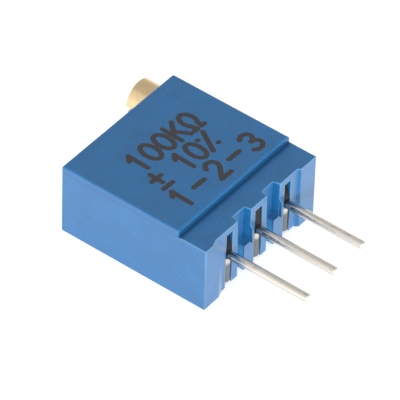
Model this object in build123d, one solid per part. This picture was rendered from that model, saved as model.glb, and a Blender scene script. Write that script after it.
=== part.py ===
from build123d import *
import math
import os

# Square multi-turn trimmer potentiometer, lying on one of its large faces. Millimetres.
# X runs along the pin row, +Y points to the screw end, the pins point to -Y, +Z is up.
# The origin is the middle of the underside: halfway across, and halfway between the
# back face and the plane of the standoffs that meet the circuit board.

# One overrun serves every cut that has to pass a face.
cut_overrun = 1.0

# Housing: one moulding, open underneath.
body_width = 9.65
body_depth = 9.76
body_height = 4.70
side_wall = 0.675
back_wall = 0.83
front_wall = 0.71
land_rise = 0.45
land_edge_radius = 0.10
land_soft_radius = 0.20
strip_depth = 1.83

# Pin face of the housing: standoffs, grooves between the ribs, and the bosses beside the slots.
standoff_height = 0.17
right_standoff_width = 1.29
right_standoff_slope = 0.15
standoff_flank = 0.28
left_standoff_top_width = 0.60
left_shoulder_drop = 1.46
left_facet_run = 0.42
left_notch_width = 0.74
left_notch_height = 1.92
left_notch_slope = 0.45
groove_depth = 0.42
groove_mouth = 1.20
groove_foot_narrowing = 0.28
groove_wall_slope = 0.11
slot_widths = (0.54, 0.62, 0.54)
slot_roof = 0.39
slot_reach = 1.26
boss_width = 0.41
boss_foot_drop = 2.35
boss_shoulder_drop = 1.37
boss_shoulder_height = 0.28
boss_foot_widening = 0.45
rib_foot_lift = 0.13
rib_foot_reach = 0.50

# Pins: tinned round wire with one bend, the leg standing in the housing's slot.
pin_pitch = 2.54
pin_diameter = 0.50
pin_height = 2.32
pin_bend_radius = 0.32
pin_leg_setback = 0.21
pin_leg_lift = 0.35
pin_tip_chamfer = 0.05
pin_reaches = (5.14, 5.05, 4.99)

# Adjusting screw: turned brass, with a worm cut on its inner half.
screw_from_side = 1.30
screw_below_land = 1.55
screw_head_diameter = 2.20
screw_head_length = 1.36
screw_head_gap = 0.05
screw_head_chamfer = 0.03
driver_slot_width = 0.56
driver_slot_depth = 0.64
driver_slot_angle = -15.0
journal_radius = 0.90
journal_length = 0.70
running_clearance = 0.04
seal_groove_width = 0.46
seal_groove_radius = 0.50
collar_length = 0.30
clip_groove_width = 0.36
clip_groove_radius = 0.40
neck_length = 0.15
tail_radius = 0.32
tail_length = 0.85
bore_end_gap = 0.08

# Worm and worm wheel.
wheel_teeth = 28
worm_pitch_radius = 0.62
worm_turns = 6
ridge_foot_share = 0.85
tooth_flank_angle = 20.0
mesh_backlash = 0.04
dedendum_share = 1.25
wheel_face_width = 1.10
wheel_offset = 0.68
chamber_clearance = 0.08

# Rotor hub and its pivot post.
hub_step = 0.25
post_radius = 0.58
post_end_gap = 0.15
thrust_radius = 1.00
thrust_height = 0.20
thrust_clearance = 0.04

# Ceramic substrate, printed films and sealing resin, stacked up from the underside.
resin_thickness = 0.50
substrate_thickness = 0.60
substrate_clearance = 0.05
film_thickness = 0.03
film_relief = 0.06
relief_width = 6.60
track_inset = 0.69
track_width = 0.56
track_half_angle = 147.0
collector_mid_radius = 1.00
collector_width = 0.50
lead_width = 0.62
pad_length = 0.55
solder_height = 0.55
solder_width = 0.44

# Wiper: a sprung strip under the rotor, bent down to both tracks.
wiper_space = 0.60
wiper_sheet = 0.10
wiper_width = 1.00
wiper_arm_reach = 0.82
wiper_heel_reach = 0.30
wiper_toe_rise = 0.15
wiper_toe_length = 0.22
wiper_split = 0.12
contact_gap = 0.02

# Seal and clip on the screw.
seal_clearance = 0.02
clip_thickness = 0.28
clip_arm_width = 0.18
clip_clearance = 0.03
clip_seat_clearance = 0.02

# Resin that shows in the slots: its setback from the rib face just above each pin and at the roof.
plug_low_setback = 0.04
plug_shoulder_rise = 0.40
plug_roof_setbacks = (0.36, 0.08, 0.40)
plug_foot_lift = 0.20

# Planes worked out from the sizes above.
back_y = body_depth / 2
standoff_y = -body_depth / 2
rib_y = standoff_y + standoff_height
strip_z = body_height - land_rise
land_front_y = standoff_y + strip_depth
slot_roof_z = strip_z - slot_roof
slot_back_y = rib_y + slot_reach
leg_y = rib_y + pin_leg_setback
pin_xs = (-pin_pitch, 0, pin_pitch)
pin_radius = pin_diameter / 2
screw_x = body_width / 2 - screw_from_side
screw_z = body_height - screw_below_land
bore_radius = journal_radius + running_clearance
wheel_y = wheel_offset
substrate_top_z = resin_thickness + substrate_thickness
film_top_z = substrate_top_z + film_thickness
pocket_half = body_width / 2 - side_wall
pocket_front_y = rib_y + front_wall
pocket_back_y = back_y - back_wall

# Gear sizes: the worm and the wheel share one axial pitch.
wheel_pitch_radius = screw_x - worm_pitch_radius
gear_module = 2 * wheel_pitch_radius / wheel_teeth
axial_pitch = math.pi * gear_module
tooth_half = (axial_pitch / 2 - mesh_backlash) / 2
flank_tan = math.tan(math.radians(tooth_flank_angle))
worm_tip_radius = worm_pitch_radius + gear_module
worm_root_radius = worm_pitch_radius - dedendum_share * gear_module
wheel_tip_radius = wheel_pitch_radius + gear_module
wheel_root_radius = wheel_pitch_radius - dedendum_share * gear_module
chamber_radius = wheel_tip_radius + chamber_clearance
worm_length = worm_turns * axial_pitch
hub_radius = wheel_root_radius - hub_step
track_mid_radius = wheel_tip_radius - track_inset
wiper_base_reach = track_mid_radius - wiper_arm_reach
wheel_top_z = screw_z + wheel_face_width / 2
wheel_foot_z = screw_z - wheel_face_width / 2
hub_foot_z = film_top_z + wiper_space
ceiling_z = wheel_top_z + thrust_clearance + thrust_height

# Stations along the screw, from the head inwards.
head_seat_y = back_y + screw_head_gap
head_end_y = head_seat_y + screw_head_length
seal_groove_y = head_seat_y - journal_length
seal_groove_end_y = seal_groove_y - seal_groove_width
clip_groove_y = seal_groove_end_y - collar_length
clip_groove_end_y = clip_groove_y - clip_groove_width
neck_y = clip_groove_end_y - collar_length
worm_start_y = neck_y - neck_length
worm_end_y = worm_start_y - worm_length
tail_end_y = worm_end_y - tail_length


def block(x_from, x_to, y_from, y_to, z_from, z_to):
    """A box between six planes."""
    middle = Pos((x_from + x_to) / 2, (y_from + y_to) / 2, (z_from + z_to) / 2)
    return middle * Box(abs(x_to - x_from), abs(y_to - y_from), abs(z_to - z_from))


def rod_along_y(radius, y_from, y_to):
    """A round bar on the screw's axis."""
    middle = Pos(screw_x, (y_from + y_to) / 2, screw_z)
    return middle * Rot(90, 0, 0) * Cylinder(radius, abs(y_to - y_from))


def post_along_z(radius, z_from, z_to):
    """A round bar on the wheel's axis."""
    return Pos(0, wheel_y, (z_from + z_to) / 2) * Cylinder(radius, z_to - z_from)


def plate_yz(points, x_from, x_to):
    """An outline in Y and Z, carried from one X plane to a higher one."""
    outline = Polyline([(x_from, y, z) for y, z in points], close=True)
    return extrude(make_face(outline), amount=x_to - x_from, dir=(1, 0, 0))


def plate_xy(points, z_from, z_to):
    """An outline in X and Y, carried from one height to a higher one."""
    outline = Polyline([(x, y, z_from) for x, y in points], close=True)
    return extrude(make_face(outline), amount=z_to - z_from, dir=(0, 0, 1))


def raised_land():
    """The pad on top that carries the marking: soft front and right edges, the other two crisper."""
    land = block(-body_width / 2, body_width / 2, land_front_y, back_y, strip_z, body_height)
    top_edges = land.edges().group_by(Axis.Z)[-1]
    land = fillet([top_edges.sort_by(Axis.Y)[0], top_edges.sort_by(Axis.X)[-1]], land_soft_radius)
    top_edges = land.edges().group_by(Axis.Z)[-1]
    return fillet([top_edges.sort_by(Axis.Y)[-1], top_edges.sort_by(Axis.X)[0]], land_edge_radius)


def left_standoff():
    """Corner standoff by the first pin: a slanted facet and a sloped flank lead down to the rib face."""
    corner_x = -body_width / 2
    slot_edge_x = pin_xs[0] - slot_widths[0] / 2
    notch_x = slot_edge_x - left_notch_width
    crest_x = slot_edge_x - standoff_flank
    crest_top_x = corner_x + left_standoff_top_width
    # The facet is flat: its upper edge on the rib face runs parallel to its lower edge.
    facet_slope = left_shoulder_drop / (crest_x - crest_top_x)
    foot_top_x = crest_top_x + left_facet_run
    foot_drop = facet_slope * (slot_edge_x - foot_top_x)

    def section(y, notch_edge_x, inner_x, drop, top_x):
        points = [
            (corner_x, 0),
            (notch_edge_x, 0),
            (notch_edge_x, left_notch_height),
            (inner_x, left_notch_height),
            (inner_x, strip_z - drop),
            (top_x, strip_z),
            (corner_x, strip_z),
        ]
        return make_face(Polyline([(x, y, z) for x, z in points], close=True))

    crest = section(standoff_y, notch_x, crest_x, left_shoulder_drop, crest_top_x)
    foot = section(rib_y, notch_x + left_notch_slope, slot_edge_x, foot_drop, foot_top_x)
    return loft([crest, foot], ruled=True)


def right_standoff():
    """Corner standoff by the last pin, with one sloped flank."""
    corner_x = body_width / 2
    inner_x = corner_x - right_standoff_width
    outline = [
        (inner_x - right_standoff_slope, rib_y),
        (inner_x, standoff_y),
        (corner_x, standoff_y),
        (corner_x, rib_y),
    ]
    return plate_xy(outline, 0, strip_z)


def boss(edge_x):
    """Proud ridge left of a slot's edge: sloped towards the slot, with a slanted shoulder on top."""
    foot_z = strip_z - boss_foot_drop
    shoulder_z = strip_z - boss_shoulder_drop
    left_x = edge_x - boss_width
    plan = [(left_x, rib_y), (left_x, standoff_y), (edge_x - standoff_flank, standoff_y), (edge_x, rib_y)]
    side = [
        (rib_y, foot_z),
        (standoff_y, foot_z),
        (standoff_y, shoulder_z),
        (rib_y, shoulder_z + boss_shoulder_height),
    ]
    return plate_xy(plan, foot_z, strip_z) & plate_yz(side, left_x, edge_x)


def boss_foot(right_x):
    """Fill under a boss, which narrows the groove near its foot."""
    foot_z = strip_z - boss_foot_drop
    return block(right_x - boss_foot_widening, right_x, rib_y, rib_y + groove_depth, 0, foot_z)


def groove(middle_x):
    """A wash groove between two ribs: sloped walls, narrower towards its foot."""
    floor_y = rib_y + groove_depth

    def section(mouth, z):
        half = mouth / 2
        floor_half = half - groove_wall_slope
        front = [(middle_x - half, rib_y, z), (middle_x + half, rib_y, z)]
        rear = [(middle_x + floor_half, floor_y, z), (middle_x - floor_half, floor_y, z)]
        return make_face(Polyline(front + rear, close=True))

    return loft([section(groove_mouth - groove_foot_narrowing, 0), section(groove_mouth, strip_z)])


def housing():
    """The moulded case: outer form first, then the pin face, then the hollows inside."""
    case = block(-body_width / 2, body_width / 2, rib_y, back_y, 0, strip_z)
    case += raised_land() + left_standoff() + right_standoff()
    for left_x, right_x, slot_width in zip(pin_xs, pin_xs[1:], slot_widths[1:]):
        case -= groove((left_x + right_x) / 2)
        edge_x = right_x - slot_width / 2
        case += boss_foot(edge_x - boss_width) + boss(edge_x)
    last_rib_x = body_width / 2 - right_standoff_width - right_standoff_slope
    foot_back_y = rib_y + rib_foot_reach
    front_y = rib_y - cut_overrun
    case -= block(pin_xs[0], last_rib_x, front_y, foot_back_y, -cut_overrun, rib_foot_lift)
    for pin_x, slot_width in zip(pin_xs, slot_widths):
        half = slot_width / 2
        case -= block(pin_x - half, pin_x + half, front_y, slot_back_y, -cut_overrun, slot_roof_z)
    case -= block(-pocket_half, pocket_half, pocket_front_y, pocket_back_y, -cut_overrun, substrate_top_z)
    relief_back_y = wheel_y - chamber_radius / 2
    relief_top_z = substrate_top_z + film_relief
    case -= block(-relief_width / 2, relief_width / 2, pocket_front_y, relief_back_y, 0, relief_top_z)
    chamber = post_along_z(chamber_radius, substrate_top_z, ceiling_z)
    chamber -= post_along_z(post_radius, hub_foot_z + post_end_gap, ceiling_z)
    chamber -= post_along_z(thrust_radius, ceiling_z - thrust_height, ceiling_z)
    case -= chamber
    case -= rod_along_y(bore_radius, worm_end_y - bore_end_gap, back_y + cut_overrun)
    case -= rod_along_y(tail_radius + running_clearance, tail_end_y - bore_end_gap, worm_end_y)
    return case - clip_seat()


def clip_seat():
    """The slit in the housing that the retaining clip is pushed into from below."""
    half = clip_groove_radius + clip_clearance + clip_arm_width + clip_seat_clearance
    middle_y = (clip_groove_y + clip_groove_end_y) / 2
    depth = clip_thickness / 2 + clip_seat_clearance
    return block(screw_x - half, screw_x + half, middle_y - depth, middle_y + depth, 0, screw_z + half)


def screw_clip():
    """U-shaped spring clip: its two arms straddle the groove and stop the screw sliding out."""
    inner = clip_groove_radius + clip_clearance
    outer = inner + clip_arm_width
    middle_y = (clip_groove_y + clip_groove_end_y) / 2
    half = clip_thickness / 2
    rear_y, front_y = middle_y - half, middle_y + half
    foot_z = substrate_top_z + clip_seat_clearance
    top_z = screw_z + outer
    clip = block(screw_x - outer, screw_x + outer, rear_y, front_y, foot_z, top_z)
    clip -= block(screw_x - inner, screw_x + inner, rear_y, front_y, screw_z, top_z)
    return clip - rod_along_y(inner, rear_y, front_y)


def worm_thread():
    """Single-start right-hand worm: a tapered ridge wound along a helix round a plain core."""

    def half_width(radius):
        return tooth_half - (radius - worm_pitch_radius) * flank_tan

    # The ridge's foot lies inside the core, so that the two fuse cleanly.
    radii = (ridge_foot_share * worm_root_radius, worm_tip_radius)
    near_side = [(radius, 0, -half_width(radius)) for radius in radii]
    far_side = [(radius, 0, half_width(radius)) for radius in reversed(radii)]
    section = make_face(Polyline(near_side + far_side, close=True))
    winding = Helix(pitch=axial_pitch, height=worm_length - axial_pitch, radius=worm_pitch_radius)
    ridge = sweep(section, path=winding, is_frenet=True)
    ridge_start_y = worm_end_y + axial_pitch / 2
    # The crest faces the wheel, along -X, level with the wheel's axis.
    start_degrees = 180 - 360 * (wheel_y - ridge_start_y) / axial_pitch
    place = Pos(screw_x, ridge_start_y, screw_z) * Rot(-90, 0, 0) * Rot(0, 0, start_degrees)
    return rod_along_y(worm_root_radius, worm_end_y, worm_start_y) + place * ridge


def adjust_screw():
    """Brass screw: slotted head, journal, seal groove, collars, clip groove, worm and tail."""
    head_radius = screw_head_diameter / 2
    screw = rod_along_y(head_radius, head_seat_y, head_end_y)
    screw = chamfer(screw.edges().group_by(Axis.Y)[-1], screw_head_chamfer)
    slot = Box(screw_head_diameter + cut_overrun, driver_slot_depth, driver_slot_width)
    slot_place = Pos(screw_x, head_end_y - driver_slot_depth / 2, screw_z) * Rot(0, driver_slot_angle, 0)
    screw -= slot_place * slot
    screw += rod_along_y(journal_radius, seal_groove_y, head_seat_y)
    screw += rod_along_y(seal_groove_radius, seal_groove_end_y, seal_groove_y)
    screw += rod_along_y(journal_radius, clip_groove_y, seal_groove_end_y)
    screw += rod_along_y(clip_groove_radius, clip_groove_end_y, clip_groove_y)
    screw += rod_along_y(journal_radius, neck_y, clip_groove_end_y)
    screw += rod_along_y(tail_radius, worm_start_y, neck_y)
    screw += worm_thread()
    return screw + rod_along_y(tail_radius, tail_end_y, worm_end_y)


def screw_o_ring():
    """Rubber ring in the screw's seal groove."""
    ring_radius = (bore_radius - seal_groove_radius) / 2 - seal_clearance
    middle_radius = (bore_radius + seal_groove_radius) / 2
    middle_y = (seal_groove_y + seal_groove_end_y) / 2
    return Pos(screw_x, middle_y, screw_z) * Rot(90, 0, 0) * Torus(middle_radius, ring_radius)


def rotor():
    """Moulded worm wheel: slanted teeth above a plain hub, bored for the housing's post."""
    half_angles = (
        (wheel_root_radius, (tooth_half + dedendum_share * gear_module * flank_tan) / wheel_pitch_radius),
        (wheel_tip_radius, (tooth_half - gear_module * flank_tan) / wheel_pitch_radius),
    )
    tooth_angle = 2 * math.pi / wheel_teeth
    lead_tan = axial_pitch / (2 * math.pi * worm_pitch_radius)
    twist = wheel_face_width * lead_tan / wheel_pitch_radius
    # A gap between two teeth faces the worm at the middle of the face width.
    first_tooth = tooth_angle / 2 - twist / 2
    points = []
    for tooth in range(wheel_teeth):
        middle = first_tooth + tooth * tooth_angle
        sides = [(radius, middle - half) for radius, half in half_angles]
        sides += [(radius, middle + half) for radius, half in reversed(half_angles)]
        points += [(radius * math.cos(angle), radius * math.sin(angle)) for radius, angle in sides]
    section = make_face(Polyline(points, close=True))
    teeth = Solid.extrude_linear_with_rotation(
        section.face(), center=(0, 0, 0), normal=(0, 0, wheel_face_width), angle=math.degrees(twist)
    )
    wheel = Pos(0, wheel_y, wheel_foot_z) * Part(teeth.wrapped)
    wheel += post_along_z(hub_radius, hub_foot_z, wheel_foot_z)
    return wheel - post_along_z(post_radius + running_clearance, hub_foot_z, wheel_top_z)


def wiper():
    """Spring strip under the hub, with one toe on the resistive track and one on the collector."""
    contact_z = film_top_z + contact_gap
    base_z = hub_foot_z - wiper_sheet
    lower_line = [
        (-collector_mid_radius - wiper_toe_length, contact_z + wiper_toe_rise),
        (-collector_mid_radius, contact_z),
        (-wiper_heel_reach, base_z),
        (wiper_base_reach, base_z),
        (track_mid_radius, contact_z),
        (track_mid_radius + wiper_toe_length, contact_z + wiper_toe_rise),
    ]
    upper_line = [(reach, z + wiper_sheet) for reach, z in reversed(lower_line)]
    half = wiper_width / 2
    strip = plate_yz([(wheel_y + reach, z) for reach, z in lower_line + upper_line], -half, half)
    split_end_y = wheel_y + track_mid_radius + wiper_toe_length + cut_overrun
    split = block(-wiper_split / 2, wiper_split / 2, wheel_y + wiper_base_reach, split_end_y, 0, hub_foot_z)
    return strip - split


def film(points):
    """A printed film of the given outline on top of the substrate."""
    return plate_xy(points, substrate_top_z, film_top_z)


def on_wheel(radius, degrees):
    """A point at a radius and an angle about the wheel's axis."""
    angle = math.radians(degrees)
    return (radius * math.cos(angle), wheel_y + radius * math.sin(angle))


def resistive_track():
    """Horseshoe of cermet film, open towards the pins."""
    inner = track_mid_radius - track_width / 2
    outer = track_mid_radius + track_width / 2
    ends = (90 - track_half_angle, 90, 90 + track_half_angle)
    outer_arc = ThreePointArc(*(on_wheel(outer, angle) for angle in ends))
    inner_arc = ThreePointArc(*(on_wheel(inner, angle) for angle in ends))
    caps = [Line(outer_arc @ share, inner_arc @ share) for share in (0, 1)]
    horseshoe = make_face(Curve() + [outer_arc, inner_arc] + caps)
    return Pos(0, 0, substrate_top_z) * extrude(horseshoe, amount=film_thickness)


def end_lead(pin_x, end_degrees):
    """Silver film from one end of the horseshoe to an outer pin's pad."""
    inner_end = on_wheel(track_mid_radius - track_width / 2, end_degrees)
    outer_end = on_wheel(track_mid_radius + track_width / 2, end_degrees)
    outward = math.copysign(lead_width / 2, pin_x)
    pad_front_y = pocket_front_y + substrate_clearance
    pad_back_y = pad_front_y + pad_length
    return film([
        inner_end,
        outer_end,
        (pin_x + outward, pad_back_y),
        (pin_x + outward, pad_front_y),
        (pin_x - outward, pad_front_y),
        (pin_x - outward, pad_back_y),
    ])


def collector_track():
    """Silver ring round the wheel's axis, with a lead to the middle pin's pad."""
    outer = collector_mid_radius + collector_width / 2
    inner = collector_mid_radius - collector_width / 2
    side = lead_width / 2
    pad_front_y = pocket_front_y + substrate_clearance
    ring = post_along_z(outer, substrate_top_z, film_top_z)
    ring += block(-side, side, pad_front_y, wheel_y - collector_mid_radius, substrate_top_z, film_top_z)
    return ring - post_along_z(inner, substrate_top_z, film_top_z)


def substrate():
    """Alumina plate that carries the films."""
    half = pocket_half - substrate_clearance
    front_y = pocket_front_y + substrate_clearance
    back_edge_y = pocket_back_y - substrate_clearance
    return block(-half, half, front_y, back_edge_y, resin_thickness, substrate_top_z)


def pin(pin_x, reach):
    """Bent wire: a leg down the slot and a straight run out past the standoffs."""
    tip_y = standoff_y - reach
    corners = [(pin_x, leg_y, pin_leg_lift), (pin_x, leg_y, pin_height), (pin_x, tip_y, pin_height)]
    route = FilletPolyline(corners, radius=pin_bend_radius)
    wire = sweep(Plane(route @ 0, z_dir=route % 0) * Circle(pin_radius), path=route)
    return chamfer(wire.edges().group_by(Axis.Y)[0], pin_tip_chamfer)


def solder(pin_x, wire):
    """Fillet of solder from the pin's leg to its pad."""
    pad_front_y = pocket_front_y + substrate_clearance
    toe = (leg_y, film_top_z)
    heel = (pad_front_y + pad_length, film_top_z)
    top = (leg_y, film_top_z + solder_height)
    bow = ((toe[0] + heel[0] - pin_radius) / 2, film_top_z + solder_height / 3)
    half = solder_width / 2

    def at(point):
        return (pin_x - half, point[0], point[1])

    hollow = ThreePointArc(at(heel), at(bow), at(top))
    outline = Curve() + [Line(at(toe), at(heel)), hollow, Line(at(top), at(toe))]
    wedge = extrude(make_face(outline), amount=solder_width, dir=(1, 0, 0))
    return wedge - wire


def seal_resin(wires, joints):
    """Potting resin: a slab under the substrate and a plug behind each pin's leg."""
    resin = block(-pocket_half, pocket_half, pocket_front_y, pocket_back_y, 0, resin_thickness)
    for pin_x, slot_width, roof_setback in zip(pin_xs, slot_widths, plug_roof_setbacks):
        outline = [
            (slot_back_y, plug_foot_lift),
            (leg_y, plug_foot_lift),
            (leg_y, pin_height),
            (rib_y + plug_low_setback, pin_height),
            (rib_y + plug_low_setback, pin_height + plug_shoulder_rise),
            (rib_y + roof_setback, slot_roof_z),
            (slot_back_y, slot_roof_z),
        ]
        half = slot_width / 2
        resin += plate_yz(outline, pin_x - half, pin_x + half)
    core_half = pocket_half + cut_overrun
    core_front_y = pocket_front_y + substrate_clearance
    resin -= block(-core_half, core_half, core_front_y, back_y, resin_thickness, film_top_z)
    for piece in wires + joints:
        resin -= piece
    return resin


wires = [pin(pin_x, reach) for pin_x, reach in zip(pin_xs, pin_reaches)]
joints = [solder(pin_x, wire) for pin_x, wire in zip(pin_xs, wires)]

pieces = {
    "housing": housing(),
    "adjust_screw": adjust_screw(),
    "screw_o_ring": screw_o_ring(),
    "screw_clip": screw_clip(),
    "rotor": rotor(),
    "wiper": wiper(),
    "substrate": substrate(),
    "resistive_track": resistive_track(),
    "end_lead_1": end_lead(pin_xs[0], 90 + track_half_angle),
    "end_lead_3": end_lead(pin_xs[2], 90 - track_half_angle),
    "collector_track": collector_track(),
    "seal_resin": seal_resin(wires, joints),
}
for number, (wire, joint) in enumerate(zip(wires, joints), start=1):
    pieces[f"pin_{number}"] = wire
    pieces[f"solder_{number}"] = joint

os.makedirs("parts", exist_ok=True)
for name, piece in pieces.items():
    export_step(piece, f"parts/{name}.step")
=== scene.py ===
import math

import bpy
import numpy as np
from mathutils import Matrix, Vector


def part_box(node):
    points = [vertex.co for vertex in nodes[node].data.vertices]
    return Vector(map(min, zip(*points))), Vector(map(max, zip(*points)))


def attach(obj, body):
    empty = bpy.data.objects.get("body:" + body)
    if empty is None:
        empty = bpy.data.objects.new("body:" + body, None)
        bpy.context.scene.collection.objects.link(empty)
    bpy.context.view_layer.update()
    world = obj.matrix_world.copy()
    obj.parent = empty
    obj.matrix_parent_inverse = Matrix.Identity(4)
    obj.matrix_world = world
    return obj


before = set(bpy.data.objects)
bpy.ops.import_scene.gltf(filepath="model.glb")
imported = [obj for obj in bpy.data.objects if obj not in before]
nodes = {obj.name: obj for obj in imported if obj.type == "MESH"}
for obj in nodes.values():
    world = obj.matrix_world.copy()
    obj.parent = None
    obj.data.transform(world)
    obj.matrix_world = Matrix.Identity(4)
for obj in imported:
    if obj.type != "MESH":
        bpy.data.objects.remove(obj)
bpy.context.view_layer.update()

# Housing: one blue thermoset moulding, open underneath, with a raised land on top and ribs, grooves and
# standoffs on its pin face. It comes satin from the mould, with a fine parting line round the land, a gate
# mark on one standoff and a few specks of pale dust. Its colour also carries painted light: a painted
# highlight on its upper edges, a painted shadow along the land's front foot and paler painted light at the
# feet of the grooves.
MM = 0.001
NOISE_SPAN = (0.3, 0.7)
HOUSING_BLUE = (0.0060, 0.142, 0.370)
CLOUD_SHARE = 0.16
MOTTLE_SIZE, GRAIN_SIZE, RELIEF_SIZE = 1.3, 0.09, 0.08
EDGE_TURN, EDGE_OPENNESS = (0.99, 0.85), (0.70, 0.95)
EDGE_HIGHLIGHT_BLUE = (0.16, 0.46, 0.78)
EDGE_HIGHLIGHT_WIDTH, EDGE_HIGHLIGHT_REACH = 0.15, 0.5
EDGE_HIGHLIGHT_HEIGHTS, EDGE_HIGHLIGHT_SHARES = (2.0, 4.0), (0.25, 0.80)
PARTING_HEIGHT = 4.25
PARTING_WIDTH = (-0.045, -0.015, 0.015, 0.045)
PARTING_SHARE, PARTING_SHADE = 0.50, -0.60
LAND_FRONT = -3.05
LAND_SIDES = (0.05, 0.10)
LAND_FOOT_WIDTH = (-0.30, -0.02, 0.02, 0.06)
LAND_FOOT_HEIGHTS, LAND_FOOT_SHARES = (0.02, 0.42), (0.95, 0.15)
LAND_FOOT_SHADOW_DARKNESS = -0.55
STRIP_LEVEL = (-0.03, -0.01)
GROOVE_FOOT_PAINTED_LIGHT_BLUE = (0.115, 0.40, 0.71)
GROOVE_FOOT_WIDTH = (-2.8, -2.6, 2.6, 2.8)
GROOVE_FOOT_DEPTH = (-4.68, -4.55, -4.32, -4.22)
GROOVE_FOOT_HEIGHTS = (1.7, 2.2)
GROOVE_FOOT_LIGHT_SHARE = 0.85
GATE_PLACE = (4.31, -4.88, 1.35)
GATE_RADII, GATE_GRAIN, GATE_GRAIN_SPAN = (0.22, 0.46), 0.17, (0.50, 0.62)
GATE_SHARE, GATE_SHADE = 0.35, -0.60
SPECK_BLUE = (0.42, 0.60, 0.80)
SPECK_SIZE, SPECK_SPAN = 0.11, (0.795, 0.83)


def shade(colour, share):
    """A colour made lighter by a positive share of itself, or darker by a negative one."""
    return tuple(min(1.0, channel * (1.0 + share)) for channel in colour)


def start_finish(name):
    """A new material: its node tree, its Principled shader, and Object coordinates in millimetres."""
    material = bpy.data.materials.new(name)
    material.use_nodes = True
    tree = material.node_tree
    shader = tree.nodes["Principled BSDF"]
    place = tree.nodes.new("ShaderNodeTexCoord")
    scale = tree.nodes.new("ShaderNodeMapping")
    scale.inputs["Scale"].default_value = (1 / MM, 1 / MM, 1 / MM)
    tree.links.new(place.outputs["Object"], scale.inputs["Vector"])
    return material, tree, shader, scale.outputs["Vector"]


def add_axes(tree, vector):
    """A vector's X, Y and Z as three values."""
    axes = tree.nodes.new("ShaderNodeSeparateXYZ")
    tree.links.new(vector, axes.inputs["Vector"])
    return axes.outputs["X"], axes.outputs["Y"], axes.outputs["Z"]


def add_noise(tree, coordinates, size, detail=3.0, stretch=(1, 1, 1)):
    """Fractal noise with features about size millimetres across, drawn out by stretch along X, Y and Z."""
    mapping = tree.nodes.new("ShaderNodeMapping")
    mapping.inputs["Scale"].default_value = tuple(1 / (size * pull) for pull in stretch)
    noise = tree.nodes.new("ShaderNodeTexNoise")
    noise.inputs["Scale"].default_value = 1.0
    noise.inputs["Detail"].default_value = detail
    tree.links.new(coordinates, mapping.inputs["Vector"])
    tree.links.new(mapping.outputs["Vector"], noise.inputs["Vector"])
    return noise.outputs["Fac"]


def add_range(tree, value, span, result=(0.0, 1.0)):
    """A value carried from a span of two numbers into a result of two, and held at its ends."""
    ramp = tree.nodes.new("ShaderNodeMapRange")
    ramp.inputs["From Min"].default_value, ramp.inputs["From Max"].default_value = span
    ramp.inputs["To Min"].default_value, ramp.inputs["To Max"].default_value = result
    tree.links.new(value, ramp.inputs["Value"])
    return ramp.outputs["Result"]


def add_math(tree, operation, first, second=0.0):
    """One sum on two values; each is a number or another node's output."""
    math_node = tree.nodes.new("ShaderNodeMath")
    math_node.operation = operation
    for socket, value in zip(math_node.inputs, (first, second)):
        if isinstance(value, (int, float)):
            socket.default_value = value
        else:
            tree.links.new(value, socket)
    return math_node.outputs["Value"]


def add_product(tree, product, *factors):
    """The product of several values; each is a number or another node's output."""
    for factor in factors:
        product = add_math(tree, "MULTIPLY", product, factor)
    return product


def add_window(tree, value, span):
    """1 between the inner two of a span's four numbers, falling to 0 at the outer two."""
    start, full, fading, end = span
    return add_product(tree, add_range(tree, value, (start, full)),
                       add_range(tree, value, (fading, end), (1.0, 0.0)))


def add_mix(tree, share, first, second):
    """Two colours mixed by a varying share; each colour is a tuple or another node's output."""
    mix = tree.nodes.new("ShaderNodeMix")
    mix.data_type = "RGBA"
    tree.links.new(share, mix.inputs["Factor"])
    for socket, colour in ((mix.inputs["A"], first), (mix.inputs["B"], second)):
        if isinstance(colour, tuple):
            socket.default_value = (*colour, 1.0)
        else:
            tree.links.new(colour, socket)
    return mix.outputs["Result"]


def add_bevel(tree, rounding):
    """The surface direction, as if every edge were rounded by rounding millimetres."""
    bevel = tree.nodes.new("ShaderNodeBevel")
    bevel.samples = 8
    bevel.inputs["Radius"].default_value = rounding * MM
    return bevel.outputs["Normal"]


def add_bump(tree, shader, height, depth, rounding=None):
    """Relief of depth millimetres from a height of 0 to 1, over edges rounded by rounding millimetres."""
    bump = tree.nodes.new("ShaderNodeBump")
    bump.inputs["Distance"].default_value = depth * MM
    tree.links.new(height, bump.inputs["Height"])
    if rounding:
        tree.links.new(add_bevel(tree, rounding), bump.inputs["Normal"])
    tree.links.new(bump.outputs["Normal"], shader.inputs["Normal"])


def add_openness(tree, reach):
    """1 on an open surface, falling towards 0 in corners and grooves narrower than reach millimetres."""
    occlusion = tree.nodes.new("ShaderNodeAmbientOcclusion")
    occlusion.samples = 8
    occlusion.only_local = True
    occlusion.inputs["Distance"].default_value = reach * MM
    return occlusion.outputs["AO"]


def add_edges(tree, width, reach):
    """1 along outer edges and 0 on flats: how far a rounding of width millimetres turns the surface,
    where it is open for reach millimetres."""
    true_normal = tree.nodes.new("ShaderNodeNewGeometry")
    agreement = tree.nodes.new("ShaderNodeVectorMath")
    agreement.operation = "DOT_PRODUCT"
    tree.links.new(add_bevel(tree, width), agreement.inputs[0])
    tree.links.new(true_normal.outputs["Normal"], agreement.inputs[1])
    turned = add_range(tree, agreement.outputs["Value"], EDGE_TURN)
    return add_product(tree, turned, add_range(tree, add_openness(tree, reach), EDGE_OPENNESS))


def vary_roughness(tree, shader, pattern, low, high):
    """Roughness that a noise pattern carries from low to high."""
    tree.links.new(add_range(tree, pattern, NOISE_SPAN, (low, high)), shader.inputs["Roughness"])


def wear(material, *names):
    """Gives a finish to CAD nodes."""
    for name in names:
        nodes[name].data.materials.clear()
        nodes[name].data.materials.append(material)


# Places are in millimetres. The land's own lines are measured from its front and from the parting height.
blue, tree, shader, place = start_finish("blue_moulding")
across, along, up = add_axes(tree, place)
above_parting = add_math(tree, "SUBTRACT", up, PARTING_HEIGHT)
behind_front = add_math(tree, "SUBTRACT", along, LAND_FRONT)

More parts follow.
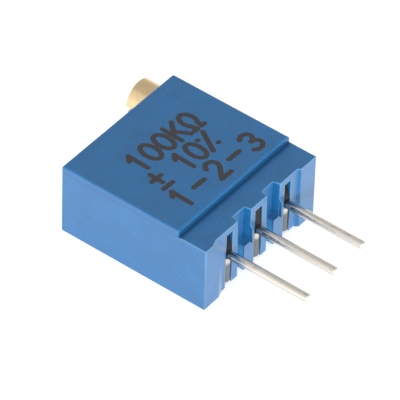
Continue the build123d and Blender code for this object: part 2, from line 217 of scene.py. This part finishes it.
mottle = add_range(tree, add_noise(tree, place, MOTTLE_SIZE), NOISE_SPAN, (0.0, 0.5))
grain = add_range(tree, add_noise(tree, place, GRAIN_SIZE, detail=2.0), NOISE_SPAN, (0.0, 0.5))
tint = add_mix(tree, add_math(tree, "ADD", mottle, grain),
               shade(HOUSING_BLUE, -CLOUD_SHARE), shade(HOUSING_BLUE, CLOUD_SHARE))

# Painted highlight: the upper edges turn a paler blue, standing in for the glint off their rounding.
painted_edge_highlight = add_product(tree, add_edges(tree, EDGE_HIGHLIGHT_WIDTH, EDGE_HIGHLIGHT_REACH),
                     add_range(tree, up, EDGE_HIGHLIGHT_HEIGHTS, EDGE_HIGHLIGHT_SHARES))
tint = add_mix(tree, painted_edge_highlight, tint, EDGE_HIGHLIGHT_BLUE)

# The parting line runs round the land's sides and back. At its front a painted shadow lies along its foot.
parting = add_product(tree, add_window(tree, above_parting, PARTING_WIDTH),
                      add_range(tree, behind_front, LAND_SIDES), PARTING_SHARE)
tint = add_mix(tree, parting, tint, shade(HOUSING_BLUE, PARTING_SHADE))
land_foot_painted_shadow = add_product(tree, add_window(tree, behind_front, LAND_FOOT_WIDTH),
                        add_range(tree, above_parting, LAND_FOOT_HEIGHTS, LAND_FOOT_SHARES),
                        add_range(tree, above_parting, STRIP_LEVEL))
tint = add_mix(tree, land_foot_painted_shadow, tint, shade(HOUSING_BLUE, LAND_FOOT_SHADOW_DARKNESS))

# Painted light makes the feet of the grooves between the pins paler, standing in for light bounced up from
# the floor, and the gate mark is a patch of dark mottle.
groove_foot_painted_light = add_product(tree, add_window(tree, across, GROOVE_FOOT_WIDTH),
                          add_window(tree, along, GROOVE_FOOT_DEPTH),
                          add_range(tree, up, GROOVE_FOOT_HEIGHTS, (1.0, 0.0)), GROOVE_FOOT_LIGHT_SHARE)
tint = add_mix(tree, groove_foot_painted_light, tint, GROOVE_FOOT_PAINTED_LIGHT_BLUE)
from_gate = tree.nodes.new("ShaderNodeVectorMath")
from_gate.operation = "DISTANCE"
from_gate.inputs[1].default_value = GATE_PLACE
tree.links.new(place, from_gate.inputs[0])
gate_grain = add_noise(tree, place, GATE_GRAIN, detail=2.0)
gate = add_product(tree, add_range(tree, from_gate.outputs["Value"], GATE_RADII, (1.0, 0.0)),
                   add_range(tree, gate_grain, GATE_GRAIN_SPAN, (0.0, GATE_SHARE)))
tint = add_mix(tree, gate, tint, shade(HOUSING_BLUE, GATE_SHADE))

speck = add_range(tree, add_noise(tree, place, SPECK_SIZE, detail=1.0), SPECK_SPAN)
tree.links.new(add_mix(tree, speck, tint, SPECK_BLUE), shader.inputs["Base Color"])
vary_roughness(tree, shader, add_noise(tree, place, size=0.25), low=0.34, high=0.44)
shader.inputs["IOR"].default_value = 1.30
shader.inputs["Coat Weight"].default_value = 1.0
shader.inputs["Coat IOR"].default_value = 1.44
shader.inputs["Coat Roughness"].default_value = 0.35
add_bump(tree, shader, add_noise(tree, place, RELIEF_SIZE, detail=2.0), depth=0.006, rounding=0.04)
wear(blue, "housing")

# Adjusting screw: turned from brass bar and left bare, so fine tool lines run round it. Its slotted head
# stands out of the back face, and the worm on its inner half drives the wheel.
BRASS = (0.77, 0.585, 0.332)


def vary_colour(tree, shader, pattern, colour, darker, lighter):
    """Base colour that a noise pattern carries from a share darker to a share lighter than a colour."""
    tint = add_mix(tree, pattern, shade(colour, -darker), shade(colour, lighter))
    tree.links.new(tint, shader.inputs["Base Color"])


brass, tree, shader, place = start_finish("turned_brass")
turning = add_noise(tree, place, size=0.05, detail=2.0, stretch=(40, 1, 40))
vary_colour(tree, shader, add_noise(tree, place, size=0.5), BRASS, darker=0.10, lighter=0.06)
vary_roughness(tree, shader, turning, low=0.28, high=0.40)
shader.inputs["Metallic"].default_value = 1.0
add_bump(tree, shader, turning, depth=0.002, rounding=0.03)
wear(brass, "adjust_screw")

# Seal and clip: a black rubber ring in the screw's groove keeps washing fluid out, and a stamped spring
# clip pushed in from below keeps the screw from sliding.
RUBBER = (0.030, 0.030, 0.032)
SPRING_STEEL = (0.52, 0.52, 0.54)

rubber, tree, shader, place = start_finish("seal_rubber")
vary_colour(tree, shader, add_noise(tree, place, size=0.3), RUBBER, darker=0.2, lighter=0.3)
vary_roughness(tree, shader, add_noise(tree, place, size=0.2), low=0.55, high=0.75)
add_bump(tree, shader, add_noise(tree, place, size=0.06), depth=0.004)
wear(rubber, "screw_o_ring")


def metal_finish(name, colour, roughness, grain, relief):
    """Bare metal: tint and roughness vary along its grain, which is a stretch along X, Y and Z."""
    material, tree, shader, place = start_finish(name)
    lines = add_noise(tree, place, size=0.06, stretch=grain)
    vary_colour(tree, shader, add_noise(tree, place, size=0.7), colour, darker=0.12, lighter=0.06)
    vary_roughness(tree, shader, lines, *roughness)
    shader.inputs["Metallic"].default_value = 1.0
    add_bump(tree, shader, lines, relief)
    return material


spring_steel = metal_finish("spring_steel", SPRING_STEEL, (0.28, 0.42), grain=(1, 1, 20), relief=0.002)
wear(spring_steel, "screw_clip")

# Rotor and wiper: a natural nylon worm wheel turns on the housing's post and carries a sprung bronze strip
# whose two toes run on the printed tracks.
NYLON = (0.72, 0.69, 0.60)
BRONZE = (0.72, 0.50, 0.30)

nylon, tree, shader, place = start_finish("natural_nylon")
vary_colour(tree, shader, add_noise(tree, place, size=1.0), NYLON, darker=0.06, lighter=0.05)
vary_roughness(tree, shader, add_noise(tree, place, size=0.3), low=0.38, high=0.52)
add_bump(tree, shader, add_noise(tree, place, size=0.08), depth=0.003)
wear(nylon, "rotor")
bronze = metal_finish("contact_bronze", BRONZE, (0.25, 0.38), grain=(1, 20, 1), relief=0.002)
wear(bronze, "wiper")

# Substrate and films: a fired alumina plate, printed with a black cermet horseshoe and silver conductors
# that run to the three pins' pads.
ALUMINA = (0.84, 0.83, 0.79)
CERMET = (0.045, 0.045, 0.050)
SILVER_FILM = (0.68, 0.66, 0.62)


def fired_finish(name, colour, roughness, size):
    """A fired ceramic or film: grainy colour, roughness and relief with grains of size millimetres."""
    material, tree, shader, place = start_finish(name)
    grains = add_noise(tree, place, size)
    vary_colour(tree, shader, grains, colour, darker=0.12, lighter=0.08)
    vary_roughness(tree, shader, grains, *roughness)
    add_bump(tree, shader, grains, depth=0.004)
    return material


wear(fired_finish("fired_alumina", ALUMINA, (0.55, 0.75), size=0.05), "substrate")
wear(fired_finish("cermet_film", CERMET, (0.40, 0.60), size=0.04), "resistive_track")
silver_film = metal_finish("silver_film", SILVER_FILM, (0.35, 0.55), grain=(1, 1, 1), relief=0.003)
wear(silver_film, "collector_track", "end_lead_1", "end_lead_3")

# Pins and solder: hot tinned round wire, drawn along its length, bent once and soldered to the pads. The
# tin is duller on the cut rims and in patches. Painted shade darkens the wire's underside, the legs are
# greyer below the bend, and a painted reflection of the housing darkens the roots beside it.
TINNED_WIRE = (0.73, 0.68, 0.615)
DRAWN_ROUGHNESS = (0.34, 0.46)
DULL_TIN_AND_PAINTED_SHADE = (0.40, 0.37, 0.34)
PATCH_SIZE, PATCH_SPAN, PATCH_SHARE = 0.20, (0.56, 0.70), 0.45
RIM_WIDTH, RIM_REACH = 0.06, 0.2
UNDERSIDE_SHADE_TURN, UNDERSIDE_SHADE_SHARE = (0.35, -0.30), 0.70
END_TURN = (0.5, 0.8)
GREY_TIN_AND_PAINTED_REFLECTION = (0.20, 0.19, 0.18)
LEG_HEIGHTS, LEG_ROUGHNESS = (1.90, 1.55), 0.35
ROOT_REFLECTION_SPAN, ROOT_REFLECTION_SHARE = (-6.0, -5.0), 0.30
SMOOTH_SPAN, SMOOTH_ROUGHNESS = (-8.5, -5.5), -0.18
SOLDER = (0.60, 0.60, 0.58)

tinned, tree, shader, place = start_finish("tinned_wire")
_, along, up = add_axes(tree, place)
surface = tree.nodes.new("ShaderNodeTexCoord")
_, endward, upward = add_axes(tree, surface.outputs["Normal"])
lines = add_noise(tree, place, size=0.05, stretch=(1, 16, 1))
tint = add_mix(tree, lines, shade(TINNED_WIRE, -0.10), shade(TINNED_WIRE, 0.08))

blotches = add_noise(tree, place, PATCH_SIZE, stretch=(1, 2, 1))
patches = add_range(tree, blotches, PATCH_SPAN, (0.0, PATCH_SHARE))
# Painted shade: the wire's underside, away from the end faces, darkens towards the dull tin.
underside_painted_shade = add_product(tree, add_range(tree, upward, UNDERSIDE_SHADE_TURN, (0.0, UNDERSIDE_SHADE_SHARE)),
                        add_range(tree, add_math(tree, "ABSOLUTE", endward), END_TURN, (1.0, 0.0)))
dulled = add_math(tree, "MAXIMUM", patches, add_edges(tree, RIM_WIDTH, RIM_REACH))
tint = add_mix(tree, add_math(tree, "MAXIMUM", dulled, underside_painted_shade), tint, DULL_TIN_AND_PAINTED_SHADE)

# The legs turn greyer below the bend; beside the housing the roots darken with a painted reflection of it.
leg = add_range(tree, up, LEG_HEIGHTS)
leg_grey_and_painted_root_reflection = add_math(tree, "MAXIMUM", leg, add_range(tree, along, ROOT_REFLECTION_SPAN, (0.0, ROOT_REFLECTION_SHARE)))
tree.links.new(add_mix(tree, leg_grey_and_painted_root_reflection, tint, GREY_TIN_AND_PAINTED_REFLECTION), shader.inputs["Base Color"])
roughness = add_range(tree, lines, NOISE_SPAN, DRAWN_ROUGHNESS)
roughness = add_math(tree, "ADD", roughness, add_product(tree, leg, LEG_ROUGHNESS))
smoothing = add_range(tree, along, SMOOTH_SPAN, (0.0, SMOOTH_ROUGHNESS))
tree.links.new(add_math(tree, "ADD", roughness, smoothing), shader.inputs["Roughness"])
shader.inputs["Metallic"].default_value = 1.0
add_bump(tree, shader, lines, depth=0.003)
wear(tinned, "pin_1", "pin_2", "pin_3")
solder = metal_finish("solder", SOLDER, (0.25, 0.45), grain=(1, 1, 1), relief=0.006)
wear(solder, "solder_1", "solder_2", "solder_3")

# Sealing resin: charcoal potting resin poured in from below after the pins are in. It closes the underside
# and stands as a plug behind each pin, where it shows in the slots.
RESIN = (0.022, 0.021, 0.024)

resin, tree, shader, place = start_finish("potting_resin")
vary_colour(tree, shader, add_noise(tree, place, size=0.4), RESIN, darker=0.2, lighter=0.4)
vary_roughness(tree, shader, add_noise(tree, place, size=0.3), low=0.45, high=0.60)
shader.inputs["Specular IOR Level"].default_value = 0.10
add_bump(tree, shader, add_noise(tree, place, size=0.25), depth=0.015)
wear(resin, "seal_resin")

# Marking: dark grey ink jetted on the land in three lines: a plain value, a tolerance and the numbers of
# the three terminals. Each character is a few pen strokes with round ends, and the lines lie a bit askew.
INK = (0.040, 0.038, 0.043)
LETTER_SIZE = np.array((0.98, 1.38)) * MM
STROKE_HALF = 0.148 * MM
LINE_POINTS, BOW_POINTS = 9, 49
STROKE_STATIONS, CAP_STATIONS = 48, 7
CAP_TURN = 0.49 * math.pi
HEADING_REACH = 1 / 60
BLEED_RATES, BLEED_SHARES = np.array((0.45, 1.1)), np.array((0.08, 0.10))
INK_FILM = 0.002 * MM
INK_STEP, INK_LEVELS = 0.0005 * MM, 5
PRINT_TILT = math.radians(-1.9)
PRINT_ROWS = (
    ("100KΩ", (-2.02, 1.95), 1.08),
    ("± 10%", (-2.40, 0.20), 1.02),
    ("1-2-3", (-2.72, -1.55), 1.47),
)


def straight(start, end):
    """Points on the straight line between two places in a letter's unit cell."""
    share = np.linspace(0, 1, LINE_POINTS)[:, None]
    return (1 - share) * np.array(start) + share * np.array(end)


def bow(centre, radii, first, last):
    """Points on an ellipse from one angle to another, in degrees, in a letter's unit cell."""
    angle = np.radians(np.linspace(first, last, BOW_POINTS))[:, None]
    return np.array(centre) + np.array(radii) * np.hstack((np.cos(angle), np.sin(angle)))


LETTERS = {
    "1": [straight((0.22, 0.76), (0.52, 1.0)), straight((0.52, 1.0), (0.52, 0.0))],
    "2": [bow((0.5, 0.71), (0.40, 0.29), 165, -38), straight((0.82, 0.53), (0.10, 0.0)),
          straight((0.10, 0.0), (0.92, 0.0))],
    "3": [bow((0.46, 0.75), (0.38, 0.25), 150, -90), bow((0.46, 0.25), (0.42, 0.25), 90, -150)],
    "0": [bow((0.5, 0.5), (0.40, 0.5), 0, 360)],
    "K": [straight((0.12, 0.0), (0.12, 1.0)), straight((0.88, 1.0), (0.14, 0.42)),
          straight((0.38, 0.60), (0.90, 0.0))],
    "Ω": [straight((0.06, 0.0), (0.34, 0.0)), straight((0.34, 0.0), (0.24, 0.26)),
          bow((0.5, 0.58), (0.40, 0.42), 229, -49), straight((0.76, 0.26), (0.66, 0.0)),
          straight((0.66, 0.0), (0.94, 0.0))],
    "±": [straight((0.5, 0.96), (0.5, 0.32)), straight((0.12, 0.64), (0.88, 0.64)),
          straight((0.12, 0.04), (0.88, 0.04))],
    "%": [straight((0.10, 0.0), (0.90, 1.0)), straight((0.14, 0.84), (0.20, 0.84)),
          straight((0.80, 0.16), (0.86, 0.16))],
    "-": [straight((0.05, 0.5), (0.95, 0.5))],
}


def stroke_ribbon(points, half_width, low, high):
    """A pen stroke from low to high in Z, a band of half_width each side of its line: vertices and quads.

    An open line runs on past both ends, where the half width falls as the square root of one less the
    square of the overrun's share of it, which draws a half circle. A closed line has no ends. The ink's
    bleed makes the half width swell and shrink by two sine waves along the line."""
    steps = np.linalg.norm(np.diff(points, axis=0), axis=1)
    along = np.concatenate(([0.0], np.cumsum(steps)))
    length = along[-1]
    closed = np.allclose(points[0], points[-1])

    def at(distance):
        distance = distance % length if closed else np.clip(distance, 0, length)
        return np.stack([np.interp(distance, along, points[:, axis]) for axis in (0, 1)], axis=1)

    stations = np.linspace(0, length, STROKE_STATIONS)
    if not closed:
        cap = half_width * np.sin(np.linspace(0, CAP_TURN, CAP_STATIONS))[1:]
        stations = np.concatenate((-cap[::-1], stations, length + cap))
    inside = np.clip(stations, 0, length)
    overrun = stations - inside
    heading = at(inside + length * HEADING_REACH) - at(inside - length * HEADING_REACH)
    heading /= np.linalg.norm(heading, axis=1, keepdims=True)
    line = at(inside) + overrun[:, None] * heading
    waves = np.round(length / half_width * BLEED_RATES) * 2 * np.pi / length
    bleed = 1 + np.sin(np.outer(stations, waves)) @ BLEED_SHARES
    half = half_width * np.sqrt(1 - (overrun / half_width) ** 2) * bleed
    side = np.stack((-heading[:, 1], heading[:, 0]), axis=1) * half[:, None]
    rails = ((line + side, high), (line - side, high), (line - side, low), (line + side, low))
    vertices = np.concatenate([np.column_stack((xy, np.full(len(xy), z))) for xy, z in rails])
    count = len(stations)
    row = np.arange(count - 1)
    quads = []
    for rail in range(4):
        here, there = rail * count + row, (rail + 1) % 4 * count + row
        quads.append(np.stack((here, there, there + 1, here + 1), axis=1))
    if not closed:
        start = count * np.array((0, 3, 2, 1))
        quads.append(np.stack((start, start[[0, 3, 2, 1]] + count - 1)))
    return vertices, np.concatenate(quads)


land_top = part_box("housing")[1].z
cosine, sine = math.cos(PRINT_TILT), math.sin(PRINT_TILT)
tilt = np.array(((cosine, sine), (-sine, cosine)))
ink_vertices, ink_faces, ink_count = [], [], 0
for text, first, pitch in PRINT_ROWS:
    for cell, letter in enumerate(text):
        for stroke in LETTERS.get(letter, []):
            pen_line = (stroke - 0.5) * LETTER_SIZE + (cell * pitch * MM, 0)
            pen_line = np.array(first) * MM + pen_line @ tilt
            film_top = land_top + INK_FILM + len(ink_faces) % INK_LEVELS * INK_STEP
            vertices, faces = stroke_ribbon(pen_line, STROKE_HALF, land_top - INK_FILM, film_top)
            ink_vertices.append(vertices)
            ink_faces.append(faces + ink_count)
            ink_count += len(vertices)
ink_mesh = bpy.data.meshes.new("marking")
ink_mesh.from_pydata(np.concatenate(ink_vertices).tolist(), [], np.concatenate(ink_faces).tolist())
ink_mesh.validate()
marking = bpy.data.objects.new("marking", ink_mesh)
bpy.context.scene.collection.objects.link(marking)

ink, tree, shader, place = start_finish("marking_ink")
vary_colour(tree, shader, add_noise(tree, place, size=0.2), INK, darker=0.15, lighter=0.25)
vary_roughness(tree, shader, add_noise(tree, place, size=0.1), low=0.5, high=0.7)
ink_mesh.materials.append(ink)
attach(marking, "case")

# Studio: a pale paper floor under a soft white tent that is brightest at the horizon, with low strip
# softboxes at the front and the left and a taller, weaker one at the back left. A long lens looks down on
# the pin face and the left side.
FLOOR_HALF = 2.0
FLOOR_DROP = 0.01 * MM
FLOOR_GREY = 0.92
FLOOR_LIFT = 0.55
MIRRORED_LIFT = 0.82

floor_mesh = bpy.data.meshes.new("floor")
floor_corners = FLOOR_HALF * np.array(((-1, -1, 0), (1, -1, 0), (1, 1, 0), (-1, 1, 0)))
floor_corners[:, 2] = -FLOOR_DROP
floor_mesh.from_pydata(floor_corners.tolist(), [], [(0, 1, 2, 3)])
floor = bpy.data.objects.new("floor", floor_mesh)
bpy.context.scene.collection.objects.link(floor)

paper = bpy.data.materials.new("pale_paper")
paper.use_nodes = True
tree = paper.node_tree
shader = tree.nodes["Principled BSDF"]
shader.inputs["Base Color"].default_value = (FLOOR_GREY, FLOOR_GREY, FLOOR_GREY, 1.0)
shader.inputs["Roughness"].default_value = 1.0
shader.inputs["Specular IOR Level"].default_value = 0.0
shader.inputs["Emission Color"].default_value = (1.0, 1.0, 1.0, 1.0)
path = tree.nodes.new("ShaderNodeLightPath")
seen = add_product(tree, path.outputs["Is Camera Ray"], FLOOR_LIFT)
mirrored = add_math(tree, "MAXIMUM", path.outputs["Is Glossy Ray"], path.outputs["Is Transmission Ray"])
mirrored = add_product(tree, mirrored, MIRRORED_LIFT)
tree.links.new(add_math(tree, "MAXIMUM", seen, mirrored), shader.inputs["Emission Strength"])
floor_mesh.materials.append(paper)

HORIZON_LIGHT, ZENITH_LIGHT = 1.0, 0.66
HORIZON_SPAN = (0.0, 0.30)

world = bpy.data.worlds.new("tent")
bpy.context.scene.world = world
world.use_nodes = True
tree = world.node_tree
background = tree.nodes["Background"]
background.inputs["Color"].default_value = (1.0, 1.0, 1.0, 1.0)
direction = tree.nodes.new("ShaderNodeTexCoord")
_, _, upward = add_axes(tree, direction.outputs["Generated"])
tent_light = add_range(tree, upward, HORIZON_SPAN, (HORIZON_LIGHT, ZENITH_LIGHT))
tree.links.new(tent_light, background.inputs["Strength"])

SOFTBOX_DISTANCE = 0.5
SOFTBOX_AIM = Vector((0, -2.5, 2.4)) * MM


def outward(azimuth, elevation):
    """The direction from the object at an azimuth from -Y towards +X and an elevation, in degrees."""
    turn, rise = math.radians(azimuth), math.radians(elevation)
    return Vector((math.sin(turn) * math.cos(rise), -math.cos(turn) * math.cos(rise), math.sin(rise)))


def look_back(away):
    """The turn that points a lamp or a camera back along a direction, with its top upwards."""
    return away.to_track_quat("Z", "Y").to_matrix().to_4x4()


def softbox(name, azimuth, elevation, width, height, power):
    """A soft lamp of a width and height in metres that faces the middle of the object."""
    lamp = bpy.data.lights.new(name, "AREA")
    lamp.shape = "RECTANGLE"
    lamp.size = width
    lamp.size_y = height
    lamp.energy = power
    away = outward(azimuth, elevation)
    holder = bpy.data.objects.new(name, lamp)
    holder.matrix_world = Matrix.Translation(SOFTBOX_AIM + SOFTBOX_DISTANCE * away) @ look_back(away)
    bpy.context.scene.collection.objects.link(holder)


softbox("front_softbox", azimuth=-18, elevation=7, width=0.6, height=0.12, power=1.33)
softbox("left_softbox", azimuth=-70, elevation=7, width=0.6, height=0.12, power=1.20)
softbox("back_left_softbox", azimuth=-124, elevation=31, width=0.3, height=0.5, power=0.26)

CAMERA_AIM = Vector((-0.2256, -0.9459, 2.35)) * MM
CAMERA_DISTANCE = 251.5 * MM
CAMERA_AZIMUTH = -53.386
CAMERA_ELEVATION = 43.299
CAMERA_ROLL = math.radians(1.957)
CAMERA_LENS = 420.77

lens = bpy.data.cameras.new("camera")
lens.lens = CAMERA_LENS
lens.sensor_width = 36.0
lens.clip_start = 0.01
lens.clip_end = 10.0
camera = bpy.data.objects.new("camera", lens)
away = outward(CAMERA_AZIMUTH, CAMERA_ELEVATION)
facing = look_back(away) @ Matrix.Rotation(CAMERA_ROLL, 4, "Z")
camera.matrix_world = Matrix.Translation(CAMERA_AIM + CAMERA_DISTANCE * away) @ facing
bpy.context.scene.collection.objects.link(camera)
bpy.context.scene.camera = camera
bpy.context.scene.view_settings.view_transform = "Standard"
